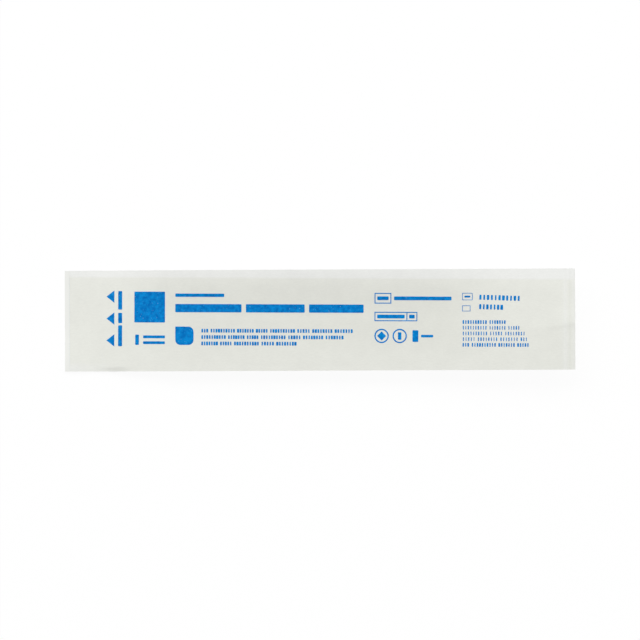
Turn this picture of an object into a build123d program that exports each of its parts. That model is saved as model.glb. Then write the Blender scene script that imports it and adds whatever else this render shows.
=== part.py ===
import os
from math import atan, cos, degrees, sin

from build123d import *

# Sheet: front and back web laid face to face, as cut
pouch_length = 192.0
pouch_width = 38.0
web_thickness = 0.16

# Side line: the tab lies on the table, the ramp climbs to the printed face
tab_length = 14.0
ramp_length = 27.0
ramp_height = 6.2
far_height = 8.2
foot_radius = 70.0
head_radius = 80.0

# Peel lip: the front web stops short of the back web
lip_setback = 1.9

# Pocket: the area left unsealed, a little askew to the cut edges
pocket_width = 33.6
top_band_left = 2.5
top_band_right = 4.1
end_band = 1.9

# Keel: the line along which the back web wraps the long rod inside
keel_width = 4.4
keel_radius = 3.6
tip_overhang = 42.0

# Trough: the front web sags between the long seals, less towards the far end
sag_left = 0.9
sag_right = 0.1
sag_runout = 9.0
rim_ratio = 1.1

sheet_thickness = 2 * web_thickness
left_x = -pouch_length / 2
right_x = pouch_length / 2
foot_x = left_x + tab_length
head_x = foot_x + ramp_length
tip_x = right_x - tip_overhang
seal_x = right_x - end_band
face_slope = (far_height - ramp_height) / (right_x - head_x)
face_angle = atan(face_slope)
pocket_length = seal_x - foot_x
pocket_x = (foot_x + seal_x) / 2
pocket_y = (pouch_width - top_band_left - top_band_right - pocket_width) / 2
skew_slope = (top_band_left - top_band_right) / pocket_length


def face_plane(x, raised):
    """Plane lying along the printed face at x, raised from the underside of the sheet."""
    return Plane(
        (x, 0, ramp_height + (x - head_x) * face_slope + raised),
        x_dir=(cos(face_angle), 0, sin(face_angle)),
        z_dir=(-sin(face_angle), 0, cos(face_angle)),
    )


def cross_plane(x, raised):
    """Plane cutting across the printed face at x, with local x along the width."""
    face = face_plane(x, raised)
    return Plane(face.origin, x_dir=(0, 1, 0), z_dir=face.x_dir)


def side_line(raised):
    """Side line of the sheet, raised from its underside."""
    return FilletPolyline(
        (left_x, raised),
        (foot_x, raised),
        (head_x, ramp_height + raised),
        (right_x, far_height + raised),
        radius=(foot_radius, head_radius),
    )


# Pocket hull under the sheet, trimmed along the middle of the sheet
with BuildPart() as pocket:
    with BuildSketch(Plane.XY):
        with Locations(((foot_x + tip_x) / 2, pocket_y)):
            Rectangle(tip_x - foot_x, keel_width)
    with BuildSketch(face_plane(pocket_x, web_thickness)):
        with Locations((0, pocket_y)):
            Rectangle(pocket_length, pocket_width, rotation=degrees(atan(skew_slope)))
    loft()
    fillet(pocket.faces().sort_by(Axis.Z)[0].edges().sort_by(SortBy.LENGTH)[-2:], keel_radius)
    with BuildSketch(Plane.XZ):
        with BuildLine():
            middle = side_line(web_thickness)
            Polyline(middle @ 1, (right_x, 0), (left_x, 0), middle @ 0)
        make_face()
    extrude(amount=pouch_width, both=True, mode=Mode.INTERSECT)

# Whole pouch: bent sheet and hull, less the trough in the front and the strip off the peel lip
with BuildPart() as sealed_pouch:
    with BuildSketch(Plane.XZ):
        with BuildLine():
            side_line(0)
            offset(amount=sheet_thickness, side=Side.LEFT)
        make_face()
    extrude(amount=pouch_width / 2, both=True)
    add(pocket.part)
    for x, sag in ((head_x - sag_runout, sag_left), (seal_x, sag_right)):
        with BuildSketch(cross_plane(x, sheet_thickness)):
            with BuildLine():
                middle_y = pocket_y + (x - pocket_x) * skew_slope
                rim_y = rim_ratio * pocket_width / 2
                rim_z = sag * (rim_ratio**2 - 1)
                rim = ThreePointArc((middle_y - rim_y, rim_z), (middle_y, -sag), (middle_y + rim_y, rim_z))
                Polyline(rim @ 1, (middle_y + rim_y, sag_left), (middle_y - rim_y, sag_left), rim @ 0)
            make_face()
    loft(mode=Mode.SUBTRACT)
    with BuildSketch(Plane.XZ):
        with Locations((left_x, web_thickness)):
            Rectangle(lip_setback, ramp_height, align=Align.MIN)
    extrude(amount=pouch_width, both=True, mode=Mode.SUBTRACT)
sealed_pouch.part.label = "sealed_pouch"

os.makedirs("parts", exist_ok=True)
export_step(sealed_pouch.part, "parts/sealed_pouch.step")
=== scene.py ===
"""Sealed peel pouch, printed paper over milky film, lying on a white table."""
from math import atan, cos, pi, radians, sin, tan

import bpy
import numpy as np
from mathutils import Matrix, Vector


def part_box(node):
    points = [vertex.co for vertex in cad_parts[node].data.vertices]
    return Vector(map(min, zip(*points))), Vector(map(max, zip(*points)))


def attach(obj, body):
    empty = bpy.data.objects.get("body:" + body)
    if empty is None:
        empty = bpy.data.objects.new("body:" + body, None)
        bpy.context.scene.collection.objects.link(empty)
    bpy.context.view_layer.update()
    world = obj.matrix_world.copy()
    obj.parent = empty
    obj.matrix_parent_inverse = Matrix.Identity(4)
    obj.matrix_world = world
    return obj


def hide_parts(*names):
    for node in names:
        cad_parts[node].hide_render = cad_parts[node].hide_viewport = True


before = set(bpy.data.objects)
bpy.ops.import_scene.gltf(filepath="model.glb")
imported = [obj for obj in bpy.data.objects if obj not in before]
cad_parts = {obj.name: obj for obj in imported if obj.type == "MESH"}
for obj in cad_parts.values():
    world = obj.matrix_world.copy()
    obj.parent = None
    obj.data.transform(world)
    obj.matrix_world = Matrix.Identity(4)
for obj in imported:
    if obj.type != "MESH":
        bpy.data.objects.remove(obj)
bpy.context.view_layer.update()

# Sizes are in millimetres, as on the solid, and become metres on the meshes
MM = 0.001
cad_low, cad_high = (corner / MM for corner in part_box("sealed_pouch"))

# Webs: a paper front and a film back, laid face to face
pouch_width = cad_high.y - cad_low.y
web_pitch = 0.16
web_thickness = 0.14
web_cell = 0.5
smooth_angle = radians(40)

# Side line: the tab lies on the table, the ramp climbs to the printed face
tab_length = 14.0
ramp_length = 27.0
ramp_height = 6.2
far_height = cad_high.z - 2 * web_pitch
foot_radius = 70.0
head_radius = 80.0

# Seals: the pocket between them lies a little askew to the cut edges
lip_setback = 1.9
pocket_width = 33.6
top_band_left = 2.5
top_band_right = 4.1
end_band = 1.9
seal_blur = 0.9
low_bond_tab = 0.6
low_bond_far = 0.05
low_bond_run = 24.0

# End seal: crimped, and bonded along two narrow lines
crimp_run = 3.5
crimp_pitch = 1.6
crimp_depth = 0.08
end_bond = 0.5
end_line_insets = (0.3, 3.7)
end_line_width = 0.8

# Pocket: the back web is drawn down to a keel along the rod inside
keel_width = 4.4
keel_softness = 0.8
tip_overhang = 42.0
bond_gap = 3.0
# Painted shade: the paper is drawn greyer where the pocket behind it is deep, and less so past the
# rod's tip
shade_depth = 6.0
tip_shade_run = 18.0
tip_shade_loss = 0.8

# Slack: the back web hangs in folds where it touches neither the table nor the front web
slack_lift = (0.2, 1.5)
slack_gap = 2.5
fan_depth = 0.16
fan_run = 42.0
fan_pitch = radians(19)
pleat_depth = 0.06
pleat_pitch = 18.0
pleat_swell = 69.0
pleat_slant = 0.6

# Set of the front web: it drops below its top edge and puckers along the top seal
drop_depth = 1.4
drop_lead = 4.0
drop_reach = 19.0
drop_runout = (36.0, 84.0)
middle_drop = 0.3
middle_drop_x = 3.0
middle_drop_run = 17.0
low_half_drop = 0.45
pucker_depth = 0.14
pucker_pitch = 13.0
pucker_swell = 31.0
pucker_reach = 4.0

# Fold at the far end: both halves fall away from it, and it turns up at the seal
fold_y = -2.8
fold_upturn = 1.3
fold_turn_x = 86.0
upper_fall = 0.017
lower_fall = 0.021
fold_ridge = 0.08
ridge_upper = 5.0
ridge_lower = 0.9
ridge_runin = (80.0, 93.0)

# Handling: a lifted tab corner, a curled edge and slight cockling
tab_lift = 0.5
tab_lift_run = 10.0
curl_x = -77.3
curl_length = 4.4
curl_width = 1.8
curl_depth = 0.28
cockle_depth = 0.03
cockle_pitch = 46.0
cross_cockle_pitch = 38.0
cross_cockle_phase = 1.0
long_cockle_pitch = 99.0
long_cockle_slant = 1.74

left_x = cad_low.x
right_x = cad_high.x
foot_x = left_x + tab_length
head_x = foot_x + ramp_length
tip_x = right_x - tip_overhang
seal_x = right_x - end_band
top_edge_y = pouch_width / 2
low_edge_y = -pouch_width / 2
ramp_slope = ramp_height / ramp_length
face_slope = (far_height - ramp_height) / (right_x - head_x)
pocket_x = (foot_x + seal_x) / 2
pocket_y = (pouch_width - top_band_left - top_band_right - pocket_width) / 2
skew_slope = (top_band_left - top_band_right) / (seal_x - foot_x)

# Surfaces of the two webs


def rise(value, start, end):
    """Smooth step from 0 at start to 1 at end."""
    t = np.clip((value - start) / (end - start), 0, 1)
    return t * t * (3 - 2 * t)


def hump(offset, width):
    """Bell of height 1 that fades over a width on both sides."""
    return np.exp(-((offset / width) ** 2))


def ripple(along, pitch, phase=0.0):
    """Wave between -1 and 1 with a pitch."""
    return np.sin(2 * pi * along / pitch + phase)


def soft_max(a, b, softness):
    """Larger of two heights, with the corner between them rounded."""
    return (a + b + np.sqrt((a - b) ** 2 + softness**2)) / 2


def bend(x, corner_x, corner_z, slope_in, slope_out, radius):
    """Height of two straight runs that meet at a corner, joined by a tangent arc."""
    angle_in = atan(slope_in)
    angle_out = atan(slope_out)
    turn = np.sign(angle_out - angle_in)
    reach = radius * tan(abs(angle_out - angle_in) / 2)
    start_x = corner_x - reach * cos(angle_in)
    end_x = corner_x + reach * cos(angle_out)
    centre_x = start_x - turn * radius * sin(angle_in)
    centre_z = corner_z - reach * sin(angle_in) + turn * radius * cos(angle_in)
    arc = centre_z - turn * np.sqrt(np.maximum(radius**2 - (x - centre_x) ** 2, 0))
    run = corner_z + (x - corner_x) * np.where(x < corner_x, slope_in, slope_out)
    return np.where((x > start_x) & (x < end_x), arc, run)


def face_height(x):
    """Straight line of the printed face, at the underside of the seals."""
    return ramp_height + (x - head_x) * face_slope


def side_height(x):
    """Side line of the pouch, at the underside of the seals."""
    foot = bend(x, foot_x, 0, 0, ramp_slope, foot_radius)
    head = bend(x, head_x, ramp_height, ramp_slope, face_slope, head_radius)
    return np.where(x < (foot_x + head_x) / 2, foot, head)


def pocket_middle(x):
    """Middle line of the unsealed pocket."""
    return pocket_y + (x - pocket_x) * skew_slope


def handling(x, y):
    """What handling leaves in both webs, as height above their even set."""
    lift = tab_lift * rise(-y, 0, top_edge_y) * (1 - rise(x, foot_x - tab_lift_run, foot_x))
    curl = curl_depth * hump(x - curl_x, curl_length) * (1 - rise(y - low_edge_y, 0, curl_width))
    cockles = ripple(x, cockle_pitch) * ripple(y, cross_cockle_pitch, cross_cockle_phase)
    cockles += ripple(x - long_cockle_slant * y, long_cockle_pitch)
    return lift - curl + cockle_depth * cockles * rise(x, foot_x, head_x)


def puckers(x, y):
    """Slight puckers that hang from the top seal."""
    below_seal = pocket_middle(x) + pocket_width / 2 - y
    pattern = (1 + ripple(x, pucker_pitch) * ripple(x, pucker_swell)) / 2
    fade = rise(below_seal, 0, pucker_reach) * np.exp(-below_seal / pucker_reach)
    return pucker_depth * pattern * fade


def face_drop(x, y):
    """How far the front web lies below its top edge."""
    low_half = low_half_drop * np.clip(y / low_edge_y, 0, 1)
    depth = drop_depth * (1 + middle_drop * hump(x - middle_drop_x, middle_drop_run))
    upper_half = depth * rise(top_edge_y - y, -drop_lead, drop_reach)
    near = (upper_half + low_half) * rise(x, foot_x, head_x)
    below_fold = fold_y + fold_upturn * rise(x, fold_turn_x, right_x) - y
    far = np.where(below_fold < 0, -upper_fall, lower_fall) * below_fold
    ridge = hump(below_fold, np.where(below_fold < 0, ridge_upper, ridge_lower))
    return near + (far - near) * rise(x, *drop_runout) - fold_ridge * ridge * rise(x, *ridge_runin)


def front_height(x, y):
    """Printed surface of the front web."""
    return side_height(x) + 2 * web_pitch + handling(x, y) + puckers(x, y) - face_drop(x, y)


def hull_height(x, y):
    """Back web drawn straight from the seals to the keel, and to the tip of the rod."""
    face = face_height(x)
    keel_top = pocket_y + keel_width / 2
    keel_low = pocket_y - keel_width / 2
    top_run = pocket_middle(x) + pocket_width / 2 - keel_top
    low_run = keel_low - pocket_middle(x) + pocket_width / 2
    flanks = np.maximum(face * (y - keel_top) / top_run, face * (keel_low - y) / low_run)
    end = face * (x - tip_x) / (seal_x - tip_x)
    return soft_max(soft_max(flanks, end, keel_softness), 0, keel_softness)


def fan(x, y, start_x):
    """Folds that spread from a point on the keel and fade out along the pouch."""
    angle = np.arctan2(y - pocket_y, x - start_x)
    reach = rise(x - start_x, 0, fan_run / 2) * rise(start_x + fan_run - x, 0, fan_run / 2)
    return fan_depth * ripple(angle, fan_pitch) * reach


def folds(x, y):
    """Folds of the slack back web: a fan at each end of the rod and slanting pleats between."""
    aside = pleat_slant * np.abs(y - pocket_y)
    pleats = pleat_depth * ripple(x + aside, pleat_pitch) * ripple(x, pleat_swell)
    return fan(x, y, foot_x) + fan(x, y, tip_x) + pleats


def back_height(x, y):
    """Outer surface of the back web: flat on the seals, drawn down over the pocket."""
    hull = hull_height(x, y)
    side = side_height(x)
    slack = rise(hull, *slack_lift) * rise(side - hull, 0, slack_gap)
    bonded = 1 - rise(side - hull, 0, bond_gap)
    drawn = np.minimum(hull + slack * folds(x, y), side)
    return drawn + bonded * (handling(x, y) - face_drop(x, y))


def seal_share(x, y):
    """1 where the two webs are bonded firmly, 0 over the open pocket."""
    outside = y - pocket_middle(x)
    top_seal = rise(outside - pocket_width / 2, -seal_blur / 2, seal_blur / 2)
    low_bond = low_bond_tab + (low_bond_far - low_bond_tab) * rise(x, left_x, left_x + low_bond_run)
    low_seal = low_bond * rise(-outside - pocket_width / 2, -2 * seal_blur, seal_blur / 2)
    end_lines = sum(hump(right_x - inset - x, end_line_width) for inset in end_line_insets)
    lip = rise(left_x + lip_setback - x, 0, seal_blur / 2)
    return np.maximum.reduce([top_seal, low_seal, end_bond * end_lines, lip])


def end_seal_share(x, y):
    """1 on the crimped seal across the far end, 0 over the pocket."""
    return rise(x, seal_x - crimp_run, seal_x)


def pocket_shade_share(x, y):
    """Share of painted shade: 0 where the back web lies close behind the front web, 1 over the
    deep, filled pocket, where the paper is drawn greyer.
    """
    gap = front_height(x, y) - back_height(x, y) - 2 * web_pitch
    beyond_tip = tip_shade_loss * rise(x, tip_x - tip_shade_run, tip_x + tip_shade_run)
    return (1 - np.exp(-np.maximum(gap, 0) / shade_depth)) * (1 - beyond_tip)


# Modelling


def settle(piece):
    """Selects one piece alone and puts its place, turn and scale into its mesh."""
    bpy.ops.object.select_all(action="DESELECT")
    piece.select_set(True)
    bpy.context.view_layer.objects.active = piece
    bpy.ops.object.transform_apply(location=True, rotation=True, scale=True)
    return piece


def places_of(piece):
    """Places of a piece's points, in millimetres, one row for each."""
    places = np.empty(3 * len(piece.data.vertices))
    piece.data.vertices.foreach_get("co", places)
    return places.reshape(-1, 3) / MM


def mould(piece, surface, lift=0.0):
    """Moves each point of a flat piece up to a web's surface."""
    places = places_of(piece)
    places[:, 2] = surface(places[:, 0], places[:, 1]) + lift
    piece.data.vertices.foreach_set("co", (places * MM).ravel())
    piece.data.update()


def mark(piece, name, share):
    """Keeps a share, worked out from x and y, on each point of a piece."""
    places = places_of(piece)
    attribute = piece.data.attributes.new(name, "FLOAT", "POINT")
    attribute.data.foreach_set("value", share(places[:, 0], places[:, 1]))


def thicken(piece, thickness, side):
    """Gives a sheet its thickness, below it for side -1 and above it for side 1."""
    bpy.context.view_layer.objects.active = piece
    solidify = piece.modifiers.new("thickness", "SOLIDIFY")
    solidify.thickness = thickness * MM
    solidify.offset = side
    bpy.ops.object.modifier_apply(modifier=solidify.name)


def add_web(name, start_x, end_x, surface, inward):
    """Thin web between two ends, over the whole width, on a surface, with its thickness inward."""
    bpy.ops.object.select_all(action="DESELECT")
    length = end_x - start_x
    bpy.ops.mesh.primitive_grid_add(
        x_subdivisions=round(length / web_cell),
        y_subdivisions=round(pouch_width / web_cell),
        size=1,
        location=((start_x + end_x) / 2 * MM, 0, 0),
    )
    web = bpy.context.object
    web.name = name
    web.scale = (length * MM, pouch_width * MM, 1)
    settle(web)
    mould(web, surface)
    mark(web, "seal", seal_share)
    mark(web, "end_seal", end_seal_share)
    # The pocket attribute is painted shade: how much greyer the paper is drawn over the deep pocket
    mark(web, "pocket", pocket_shade_share)
    thicken(web, web_thickness, inward)
    bpy.ops.object.mode_set(mode="EDIT")
    bpy.ops.mesh.select_all(action="SELECT")
    bpy.ops.mesh.normals_make_consistent(inside=False)
    bpy.ops.object.mode_set(mode="OBJECT")
    bpy.ops.object.shade_smooth_by_angle(angle=smooth_angle)
    return web


front_web = add_web("front_web", left_x + lip_setback, right_x, front_height, -1)
back_web = add_web("back_web", left_x, right_x, back_height, 1)

# Print: thin layers of ink, laid out level and then turned with the pocket
print_turn = radians(-0.45)
ink_lift = 0.03
ink_thickness = 0.025
ink_cell = 1.2
corner_radius = 0.3
corner_segments = 4
disc_corners = 48
box_line = 0.35
box_margin = 1.0
fine_line = 0.2
fine_margin = 0.8

# Fine rows are groups of plain upright strokes
stroke_pitch = 0.95
stroke_height = 1.4
stroke_corner = 0.2
stroke_segments = 2
stroke_rhythm = (1.0, 0.8, 1.15, 0.9, 0.75, 1.1, 1.3)
group_lengths = (2.8, 9.4, 6.4, 4.6, 9.6, 5.0, 7.8, 7.0)
group_gap = 0.65


def bar(x, y, length, height, corner=corner_radius, sharp_corner=False):
    """Bar of ink from x, centred on y, with rounded corners, the top left one sharp if asked."""
    bpy.ops.object.select_all(action="DESELECT")
    bpy.ops.mesh.primitive_plane_add(size=1, location=((x + length / 2) * MM, y * MM, 0))
    piece = bpy.context.object
    piece.scale = (length * MM, height * MM, 1)
    bpy.ops.object.transform_apply(location=False, rotation=False, scale=True)
    bpy.ops.object.mode_set(mode="EDIT")
    bpy.ops.mesh.select_all(action="DESELECT")
    bpy.ops.object.mode_set(mode="OBJECT")
    for vertex in piece.data.vertices:
        vertex.select = not (sharp_corner and vertex.co.x < 0 < vertex.co.y)
    bpy.ops.object.mode_set(mode="EDIT")
    if corner:
        bpy.ops.mesh.bevel(offset=corner * MM, segments=corner_segments, affect="VERTICES")
    bpy.ops.object.mode_set(mode="OBJECT")
    return settle(piece)


def bar_row(x, y, height, lengths, gap):
    """Row of bars from x, with a gap between them."""
    row = []
    for length in lengths:
        row.append(bar(x, y, length, height))
        x += length + gap
    return row


def groups(first, count):
    """Lengths of some groups of strokes, taken in turn from the common rhythm."""
    return [group_lengths[(first + index) % len(group_lengths)] for index in range(count)]


def stroke_row(x, y, lengths, width, height=stroke_height, pitch=stroke_pitch, turn=0.0):
    """Row of groups of upright strokes from x, sloping by turn."""
    row = []
    start_x = x
    for length in lengths:
        count = round(length / pitch)
        for index in range(count):
            stroke = unit_stroke.copy()
            stroke.data = unit_stroke.data.copy()
            bpy.context.scene.collection.objects.link(stroke)
            stroke_x = x + (index + 0.5) * length / count
            stroke_y = y + (stroke_x - start_x) * tan(turn)
            stroke.location = (stroke_x * MM, stroke_y * MM, 0)
            stroke.rotation_euler.z = turn
            stroke.scale = (width * stroke_rhythm[len(row) % len(stroke_rhythm)], height, 1)
            row.append(settle(stroke))
        x += length + group_gap
    return row


def hollow(piece, line):
    """Leaves only a line of ink along the outline of a shape."""
    bpy.ops.object.mode_set(mode="EDIT")
    bpy.ops.mesh.select_all(action="SELECT")
    bpy.ops.mesh.inset(thickness=line * MM)
    bpy.ops.mesh.delete(type="FACE")
    bpy.ops.object.mode_set(mode="OBJECT")
    return piece


def box(x, y, length, height, line):
    """Outlined box of ink from x, centred on y."""
    return hollow(bar(x, y, length, height, corner=0), line)


def boxed_bar(x, y, length, height, weight, line=box_line, margin=box_margin):
    """Outlined box with one bar along its middle."""
    return [box(x, y, length, height, line), bar(x + margin, y, length - 2 * margin, weight)]


def disc(x, y, radius, corners=disc_corners, turn=0.0, squeeze=1.0):
    """Disc of ink, or a regular figure with few corners, turned and then squeezed along x."""
    bpy.ops.object.select_all(action="DESELECT")
    bpy.ops.mesh.primitive_circle_add(vertices=corners, radius=radius * MM, fill_type="NGON")
    piece = bpy.context.object
    piece.rotation_euler.z = turn
    settle(piece)
    piece.scale.x = squeeze
    piece.location = (x * MM, y * MM, 0)
    return settle(piece)


def print_layer(name, shapes):
    """Joins printed shapes, cuts them fine enough to bend, and lays them on the front web."""
    bpy.ops.object.select_all(action="DESELECT")
    for shape in shapes:
        shape.select_set(True)
    bpy.context.view_layer.objects.active = shapes[0]
    if len(shapes) > 1:
        bpy.ops.object.join()
    layer = bpy.context.object
    layer.name = name
    layer.rotation_euler.z = print_turn
    settle(layer)
    places = places_of(layer)
    bpy.ops.object.mode_set(mode="EDIT")
    for axis in (0, 1):
        normal = np.eye(3)[axis]
        for cut in np.arange(places[:, axis].min() + ink_cell, places[:, axis].max(), ink_cell):
            bpy.ops.mesh.select_all(action="SELECT")
            bpy.ops.mesh.bisect(plane_co=normal * cut * MM, plane_no=normal)
    bpy.ops.object.mode_set(mode="OBJECT")
    mould(layer, front_height, ink_lift)
    thicken(layer, ink_thickness, -1)
    return layer


# Strokes are scaled copies of one rounded block, a millimetre each way
bpy.ops.object.select_all(action="DESELECT")
bpy.ops.mesh.primitive_plane_add(size=MM)
unit_stroke = bpy.context.object
bpy.ops.object.mode_set(mode="EDIT")
bpy.ops.mesh.bevel(offset=stroke_corner * MM, segments=stroke_segments, affect="VERTICES")
bpy.ops.object.mode_set(mode="OBJECT")

# Peel marks: three arrow heads and a column of bars beside them
arrow_x = -78.3
arrow_y = 0.35
arrow_pitch = 8.25
arrow_radius = 2.7
arrow_squeeze = 0.735
column_x = -75.85
column_width = 1.5
column_spans = ((10.7, 3.7), (2.5, -1.4), (-2.2, -10.1))
arrows = []
for step in (1, 0, -1):
    y = arrow_y + step * arrow_pitch
    arrows.append(disc(arrow_x, y, arrow_radius, corners=3, turn=pi / 2, squeeze=arrow_squeeze))
column = [bar(column_x, (top + low) / 2, column_width, top - low) for top, low in column_spans]

# Colour square, with one upright and two level bars below it
square_x = -69.7
square_y = 4.7
square_side = 11.6
lower_bars_y = -7.6
upright_inset = 0.35
upright_size = (1.4, 3.9)
level_indent = 3.3
level_pitch = 2.2
level_weight = 1.05
square = [bar(square_x, square_y, square_side, square_side)]
lower_bars = [bar(square_x + upright_inset, lower_bars_y, *upright_size)]
for y in (lower_bars_y + level_pitch / 2, lower_bars_y - level_pitch / 2):
    lower_bars.append(bar(square_x + level_indent, y, square_side - level_indent, level_weight))

# Heavy bars: three in a row, with a light one above and a tile with one sharp corner below
heavy_x = -54.2
heavy_y = 4.35
heavy_weight = 3.1
heavy_lengths = (24.9, 22.1, 20.5)
heavy_gap = 1.65
light_y = 9.2
light_length = 18.4
light_weight = 1.25
tile_y = -6.05
tile_side = 6.9
tile_corner = 1.9
light_bar = [bar(heavy_x, light_y, light_length, light_weight)]
heavy_bars = bar_row(heavy_x, heavy_y, heavy_weight, heavy_lengths, heavy_gap)
tile = [bar(heavy_x, tile_y, tile_side, tile_side, tile_corner, sharp_corner=True)]

# Centre rows: each has the number of its first group and how many groups it holds
centre_row_x = -44.5
centre_row_y = -4.1
centre_row_pitch = 2.4
centre_stroke = 0.66
centre_rows = ((0, 8), (1, 7), (2, 5))
centre_strokes = []
for row, run in enumerate(centre_rows):
    y = centre_row_y - row * centre_row_pitch
    centre_strokes += stroke_row(centre_row_x, y, groups(*run), centre_stroke)

# Boxes: the upper one holds a bar, with another beside it, and the lower one is split in two
box_x = 20.7
box_weight = 1.4
upper_box_y = 8.3
upper_box_size = (6.3, 4.0)
beside_length = 21.6
split_box_y = 1.45
split_box_size = (16.1, 3.5)
divider_place = 12.0
divider_gap = 0.05
upper_box = boxed_bar(box_x, upper_box_y, *upper_box_size, box_weight)
beside_x = box_x + upper_box_size[0] + box_margin
upper_box.append(bar(beside_x, upper_box_y, beside_length, box_weight))
divider_height = split_box_size[1] - 2 * (box_line + divider_gap)
split_box = [box(box_x, split_box_y, *split_box_size, box_line)]
split_box.append(bar(box_x + divider_place, split_box_y, box_line, divider_height, corner=0))
for start, end in ((0, divider_place + box_line), (divider_place, split_box_size[0])):
    length = end - start - 2 * box_margin
    split_box.append(bar(box_x + start + box_margin, split_box_y, length, box_weight))

# Rings: one holds a diamond and one a bar, with a block and a dash beside them
ring_y = -5.85
ring_radius = 2.7
ring_line = 0.5
ring_pitch = 6.8
diamond_radius = 1.7
ring_bar = (1.3, 2.8)
end_block_x = 35.0
end_block = (2.2, 4.4)
end_dash_x = 38.2
end_dash = (4.6, 0.95)
ring_places = (box_x + ring_radius, box_x + ring_radius + ring_pitch)
rings = [hollow(disc(x, ring_y, ring_radius), ring_line) for x in ring_places]
rings.append(disc(ring_places[0], ring_y, diamond_radius, corners=4))
rings.append(bar(ring_places[1] - ring_bar[0] / 2, ring_y, *ring_bar))
end_mark = [bar(end_block_x, ring_y, *end_block), bar(end_dash_x, ring_y, *end_dash)]

# Small boxes, and two rows of strokes stamped a little askew
small_x = 53.6
small_y = 9.05
small_size = (3.9, 2.7)
small_weight = 0.7
bare_y = 4.6
bare_size = (3.1, 2.2)
stamp_x = 59.7
stamp_turn = radians(-1.6)
stamp_stroke = 0.8
stamp_height = 1.9
stamp_pitch = 1.4
stamp_rows = ((8.85, 15.8), (5.3, 9.4))
small_boxes = boxed_bar(small_x, small_y, *small_size, small_weight, fine_line, fine_margin)
small_boxes.append(box(small_x, bare_y, *bare_size, fine_line))
stamps = []
for y, length in stamp_rows:
    stamps += stroke_row(stamp_x, y, [length], stamp_stroke, stamp_height, stamp_pitch, stamp_turn)

# Far rows: three light ones between two heavier ones, with groups as in the centre rows
far_row_y = -0.5
far_row_pitch = 2.14
heavy_stroke = 0.52
light_stroke = 0.36
far_rows = (
    (1, 2, heavy_stroke),
    (1, 3, light_stroke),
    (4, 3, light_stroke),
    (5, 4, light_stroke),
    (0, 4, heavy_stroke),
)
far_strokes = []
for row, (first, number, width) in enumerate(far_rows):
    y = far_row_y - row * far_row_pitch
    far_strokes += stroke_row(small_x, y, groups(first, number), width)

bpy.data.objects.remove(unit_stroke)
ink_layers = [
    print_layer("peel_arrows", arrows),
    print_layer("peel_bars", column),
    print_layer("colour_square", square),
    print_layer("lower_bars", lower_bars),
    print_layer("light_bar", light_bar),
    print_layer("heavy_bars", heavy_bars),
    print_layer("plain_tile", tile),
    print_layer("centre_strokes", centre_strokes),
    print_layer("upper_box", upper_box),
    print_layer("split_box", split_box),
    print_layer("ring_marks", rings),
    print_layer("end_mark", end_mark),
    print_layer("small_boxes", small_boxes),
    print_layer("stamped_strokes", stamps),
    print_layer("far_strokes", far_strokes),
]

# Materials: most of a noise lies in this span, which is spread over the tones that it drives
noise_span = {"From Min": 0.3, "From Max": 0.7}

# The fibres of the paper stand out a little, and the ink follows them
fibre_relief = {"Strength": 0.5, "Distance": 0.02 * MM}


def linear(hex_colour):
    """sRGB hex colour as linear values with full opacity."""
    channels = [int(hex_colour[i : i + 2], 16) / 255 for i in (1, 3, 5)]
    return [c / 12.92 if c <= 0.04045 else ((c + 0.055) / 1.055) ** 2.4 for c in channels] + [1.0]


def node(tree, kind, settings, output=0):
    """Adds a shader node, sets its properties, values and links by name, and gives an output."""
    added = tree.nodes.new("ShaderNode" + kind)
    for name, value in settings.items():
        if isinstance(value, bpy.types.NodeSocket):
            tree.links.new(value, added.inputs[name])
        elif hasattr(added, str(name)):
            setattr(added, name, value)
        else:
            added.inputs[name].default_value = value
    return added.outputs[output] if added.outputs else None


def new_material(name):
    """Empty material and its node tree."""
    material = bpy.data.materials.new(name)
    material.use_nodes = True
    material.node_tree.nodes.clear()
    return material, material.node_tree


def crimp_relief(tree, place):
    """Relief of the crimped seal across the far end."""
    # One wave of the band texture is pi / 10 long at scale 1
    crimp_scale = pi / 10 / (crimp_pitch * MM)
    wave = node(tree, "TexWave", {"Vector": place, "Scale": crimp_scale}, "Fac")
    end_seal = node(tree, "Attribute", {"attribute_name": "end_seal"}, "Fac")
    height = node(tree, "Math", {"operation": "MULTIPLY", 0: wave, 1: end_seal})
    return node(tree, "Bump", {"Height": height, "Distance": crimp_depth * MM})


def paper_fibres(tree, place):
    """Noise like the fibres of the paper, drawn out along the web."""
    # Real fibres are near 0.03 mm wide; they are drawn coarser so that they show
    fibre_size = 0.5
    fibre_draw = 0.4
    drawn = node(tree, "Mapping", {"Vector": place, "Scale": (fibre_draw, 1, 1)})
    return node(tree, "TexNoise", {"Vector": drawn, "Scale": 1 / (fibre_size * MM), "Detail": 2})


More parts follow.
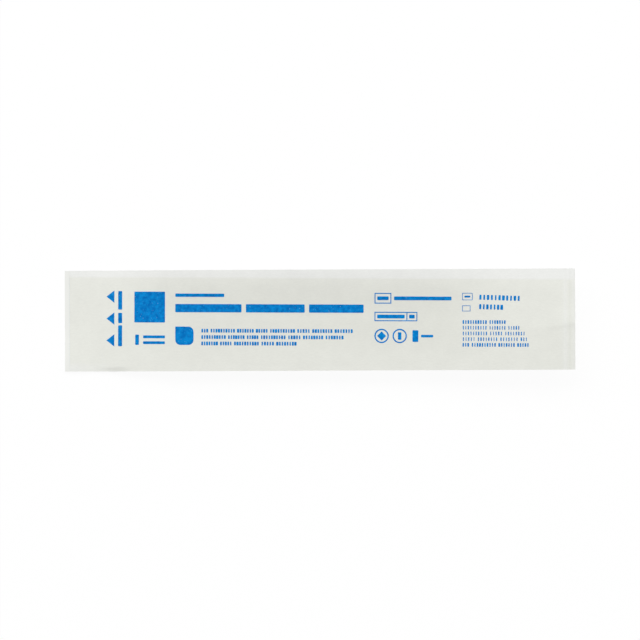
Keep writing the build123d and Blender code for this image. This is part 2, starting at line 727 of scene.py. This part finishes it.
def medical_paper():
    """Bleached kraft paper, calendered and coated for sealing."""
    # Matt and faintly cloudy, whiter where it is bonded, and with painted shade: greyer over the
    # deep pocket, as if the shade inside it showed through
    material, tree = new_material("medical kraft paper")
    cloud_size = 5.0
    place = node(tree, "TexCoord", {}, "Object")
    seal = node(tree, "Attribute", {"attribute_name": "seal"}, "Fac")
    # The pocket attribute carries painted shade, which draws the open paper greyer over the deep
    # pocket
    pocket = node(tree, "Attribute", {"attribute_name": "pocket"}, "Fac")
    clouds = node(tree, "TexNoise", {"Vector": place, "Scale": 1 / (cloud_size * MM), "Detail": 3})
    fibres = paper_fibres(tree, place)
    open_tones = {"Color1": linear("#E6E7E0"), "Color2": linear("#DEDFD7")}
    shaded_open_paper = node(tree, "MixRGB", {"Fac": pocket, **open_tones})
    paper = node(tree, "MixRGB", {"Fac": seal, "Color1": shaded_open_paper, "Color2": linear("#ECEDEA")})
    cloud_tones = {"To Min": 0.984, "To Max": 1.012}
    fibre_tones = {"To Min": 0.982, "To Max": 1.014}
    cloud_tone = node(tree, "MapRange", {"Value": clouds, **noise_span, **cloud_tones})
    fibre_tone = node(tree, "MapRange", {"Value": fibres, **noise_span, **fibre_tones})
    mottle = node(tree, "Math", {"operation": "MULTIPLY", 0: cloud_tone, 1: fibre_tone})
    crimp = crimp_relief(tree, place)
    looks = {
        "Base Color": node(tree, "VectorMath", {"operation": "MULTIPLY", 0: paper, 1: mottle}),
        "Roughness": node(tree, "MapRange", {"Value": seal, "To Min": 0.85, "To Max": 0.65}),
        "Specular IOR Level": 0.3,
        "Normal": node(tree, "Bump", {"Height": fibres, "Normal": crimp, **fibre_relief}),
    }
    node(tree, "OutputMaterial", {"Surface": node(tree, "BsdfPrincipled", looks)})
    return material


def pocket_film():
    """Cast polyethylene film, drawn over the pocket."""
    # Milky and satin, with fine lines along the web and whiter bonded seals
    material, tree = new_material("milky pocket film")
    haze_size = 6.0
    line_size = 0.7
    line_draw = 0.06
    line_relief = 0.03
    place = node(tree, "TexCoord", {}, "Object")
    seal = node(tree, "Attribute", {"attribute_name": "seal"}, "Fac")
    drawn = node(tree, "Mapping", {"Vector": place, "Scale": (line_draw, 1, 1)})
    haze = node(tree, "TexNoise", {"Vector": place, "Scale": 1 / (haze_size * MM), "Detail": 3})
    lines = node(tree, "TexNoise", {"Vector": drawn, "Scale": 1 / (line_size * MM), "Detail": 2})
    open_tones = {"Color1": linear("#D9DEDD"), "Color2": linear("#E4E8E7")}
    open_film = node(tree, "MixRGB", {"Fac": haze, **open_tones})
    film = node(tree, "MixRGB", {"Fac": seal, "Color1": open_film, "Color2": linear("#EAEBE7")})
    crimp = crimp_relief(tree, place)
    relief = {"Height": lines, "Strength": 0.5, "Distance": line_relief * MM, "Normal": crimp}
    satin = {"To Min": 0.44, "To Max": 0.6}
    looks = {
        "Base Color": film,
        "Roughness": node(tree, "MapRange", {"Value": haze, **noise_span, **satin}),
        "IOR": 1.51,
        "Normal": node(tree, "Bump", relief),
    }
    node(tree, "OutputMaterial", {"Surface": node(tree, "BsdfPrincipled", looks)})
    return material


def flexo_ink():
    """Water-based blue ink, printed from a soft plate."""
    # Strong cyan blue that follows the fibres, mottled where it lies thin, with pinholes in it
    material, tree = new_material("blue flexo ink")
    mottle_size = 1.4
    pinhole_size = 0.45
    pinhole_span = {"From Min": 0.72, "From Max": 0.82}
    place = node(tree, "TexCoord", {}, "Object")
    mottle = node(tree, "TexNoise", {"Vector": place, "Scale": 1 / (mottle_size * MM), "Detail": 3})
    speck_grain = {"Scale": 1 / (pinhole_size * MM), "Detail": 1}
    specks = node(tree, "TexNoise", {"Vector": place, **speck_grain})
    pinholes = node(tree, "MapRange", {"Value": specks, **pinhole_span, "To Max": 0.5})
    ink_tones = {"Color1": linear("#006AB8"), "Color2": linear("#088DD8")}
    thinness = node(tree, "MapRange", {"Value": mottle, **noise_span})
    ink = node(tree, "MixRGB", {"Fac": thinness, **ink_tones})
    bare_paper = linear("#DADCD8")
    looks = {
        "Base Color": node(tree, "MixRGB", {"Fac": pinholes, "Color1": ink, "Color2": bare_paper}),
        "Roughness": node(tree, "MapRange", {"Value": thinness, "To Min": 0.5, "To Max": 0.6}),
        "Specular IOR Level": 0.05,
        "Normal": node(tree, "Bump", {"Height": paper_fibres(tree, place), **fibre_relief}),
    }
    node(tree, "OutputMaterial", {"Surface": node(tree, "BsdfPrincipled", looks)})
    return material


def dress(piece, material):
    """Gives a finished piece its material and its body."""
    piece.data.materials.clear()
    piece.data.materials.append(material)
    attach(piece, "root")


dress(front_web, medical_paper())
dress(back_web, pocket_film())
blue_ink = flexo_ink()
for layer in ink_layers:
    dress(layer, blue_ink)
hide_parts("sealed_pouch")
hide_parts("sealed_pouch")

# Surroundings: plain white where they are seen, a plain level of light where they light the pouch
table_size = 6000.0
table_drop = 0.02
table_glow = 0.945
sky_light = 0.4
white = linear("#FFFFFF")


def seen(tree):
    """1 for rays that show the surroundings, straight or by reflection, and 0 for the rest."""
    camera_ray = node(tree, "LightPath", {}, "Is Camera Ray")
    glossy_ray = node(tree, "LightPath", {}, "Is Glossy Ray")
    transmitted_ray = node(tree, "LightPath", {}, "Is Transmission Ray")
    indirect = node(tree, "Math", {"operation": "MAXIMUM", 0: glossy_ray, 1: transmitted_ray})
    return node(tree, "Math", {"operation": "MAXIMUM", 0: camera_ray, 1: indirect})


def white_table():
    """Matt white board."""
    # Glows white where it is seen, all but a small share that still takes the pouch's shadow
    material, tree = new_material("matt white board")
    matt = node(tree, "BsdfDiffuse", {"Color": white})
    glow = node(tree, "Emission", {"Color": white, "Strength": 1.0})
    glow_share = node(tree, "Math", {"operation": "MULTIPLY", 0: seen(tree), 1: table_glow})
    surface = node(tree, "MixShader", {0: glow_share, 1: matt, 2: glow})
    node(tree, "OutputMaterial", {"Surface": surface})
    return material


def white_studio():
    """World that is white where it is seen, and dimmer where it lights the pouch."""
    world = bpy.data.worlds.new("white studio")
    world.use_nodes = True
    tree = world.node_tree
    tree.nodes.clear()
    levels = {"To Min": sky_light, "To Max": 1.0}
    strength = node(tree, "MapRange", {"Value": seen(tree), **levels})
    sky = node(tree, "Background", {"Color": white, "Strength": strength})
    node(tree, "OutputWorld", {"Surface": sky})
    return world


bpy.ops.object.select_all(action="DESELECT")
bpy.ops.mesh.primitive_plane_add(size=table_size * MM, location=(0, 0, -table_drop * MM))
table = bpy.context.object
table.name = "table"
table.data.materials.append(white_table())
bpy.context.scene.world = white_studio()

# Light: a wide soft window beyond the top edge
window_tilt = radians(50)
window_turn = radians(8)
window_distance = 4000.0
window_width = 12000.0
window_height = 2200.0
window_watts = 309.5
window = bpy.data.objects.new("window", bpy.data.lights.new("window", "AREA"))
bpy.context.scene.collection.objects.link(window)
window.data.shape = "RECTANGLE"
window.data.size = window_width * MM
window.data.size_y = window_height * MM
window.data.energy = window_watts
window_reach = window_distance * sin(window_tilt) * MM
window.location.x = -window_reach * sin(window_turn)
window.location.y = window_reach * cos(window_turn)
window.location.z = window_distance * cos(window_tilt) * MM
window.rotation_euler = window.location.to_track_quat("Z", "Y").to_euler()

# Camera: straight above, with the pouch's long edges a shade off level
camera_height = 1500.0
frame_width = 240.5
camera_x = 0.23
camera_y = 0.05
camera_roll = radians(-0.25)
sensor_width = 36.0
camera = bpy.data.objects.new("camera", bpy.data.cameras.new("camera"))
bpy.context.scene.collection.objects.link(camera)
camera.location = (camera_x * MM, camera_y * MM, camera_height * MM)
camera.rotation_euler = (0, 0, camera_roll)
camera.data.sensor_width = sensor_width
camera.data.lens = sensor_width * (camera_height - ramp_height) / frame_width
bpy.context.scene.camera = camera
bpy.context.scene.view_settings.view_transform = "Standard"
